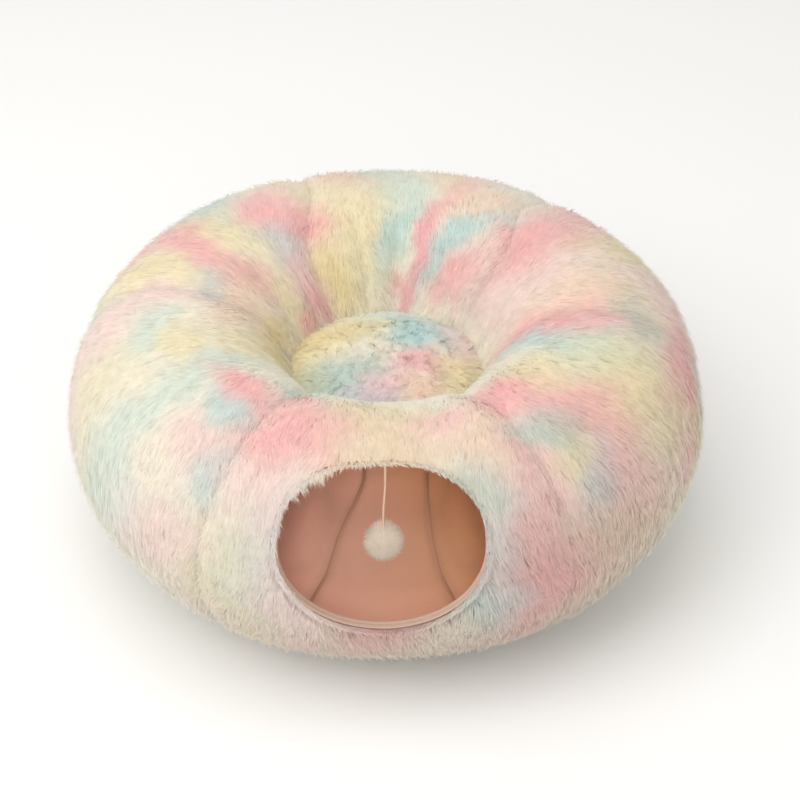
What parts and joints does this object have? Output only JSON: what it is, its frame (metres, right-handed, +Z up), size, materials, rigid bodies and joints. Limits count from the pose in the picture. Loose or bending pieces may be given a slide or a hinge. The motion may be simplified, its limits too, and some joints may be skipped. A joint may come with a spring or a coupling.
{
  "type": "cat cave bed",
  "caption": "Ring-shaped plush tunnel bed for a cat, with a round lined entrance, a hanging pompom and a round cushion pressed into its middle.",
  "frame": {"origin": "middle of the ring, on the floor it stands on", "axes": "+Z up, -Y out of the entrance, +X to the right of someone who faces the entrance"},
  "size_m": [0.649, 0.6475, 0.2549],
  "materials": {
    "plush_front": "long soft pile, pastel tie-dye",
    "plush_right": "long soft pile, pastel tie-dye",
    "plush_back_right": "long soft pile, pastel tie-dye",
    "plush_back": "long soft pile, pastel tie-dye",
    "plush_back_left": "long soft pile, pastel tie-dye",
    "plush_left": "long soft pile, pastel tie-dye",
    "fringe_pile": "long soft pile",
    "lining_cloth": "smooth short nap",
    "binding_tape": "plain woven tape",
    "cushion_plush": "soft pile, pastel tie-dye",
    "cord_yarn": "twisted yarn",
    "pompom_yarn": "fluffy yarn"
  },
  "bodies": {
    "root": {"plush_gore_front": "plush_front", "plush_gore_right": "plush_right", "plush_gore_back_right": "plush_back_right", "plush_gore_back": "plush_back", "plush_gore_back_left": "plush_back_left", "plush_gore_left": "plush_left", "entrance_fringe": "fringe_pile", "tunnel_lining": "lining_cloth", "entrance_binding": "binding_tape", "well_cushion": "cushion_plush", "toy_cord": "cord_yarn", "toy_pompom": "pompom_yarn"}
  },
  "joints": []
}
